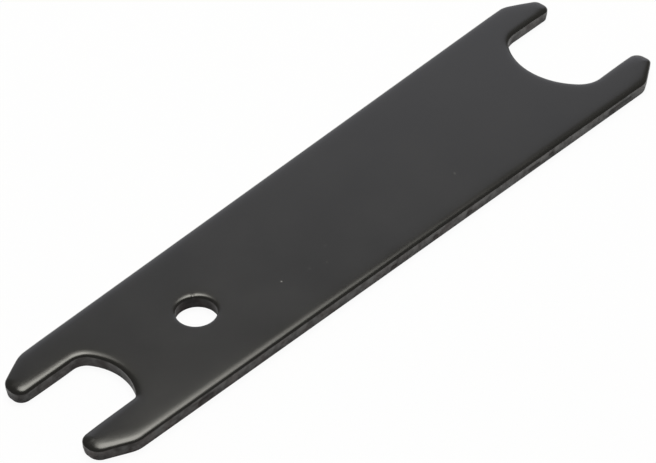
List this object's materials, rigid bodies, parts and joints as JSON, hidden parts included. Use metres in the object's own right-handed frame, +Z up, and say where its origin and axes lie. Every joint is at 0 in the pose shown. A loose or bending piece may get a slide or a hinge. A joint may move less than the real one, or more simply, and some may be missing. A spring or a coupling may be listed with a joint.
{
  "type": "open-end wrench",
  "caption": "Flat open-end wrench stamped from steel plate: tapered body with a larger and a smaller open jaw at its ends and a hanging hole, satin black finish.",
  "frame": {"origin": "under the middle of the blank, on the face that the wrench lies on", "axes": "+X along the wrench towards the large jaw, +Z up through the plate towards the rolled edge"},
  "size_m": [0.1644, 0.041, 0.0032],
  "materials": {
    "black_finish": "satin black"
  },
  "bodies": {
    "root": {"wrench_body": "black_finish"}
  },
  "joints": []
}
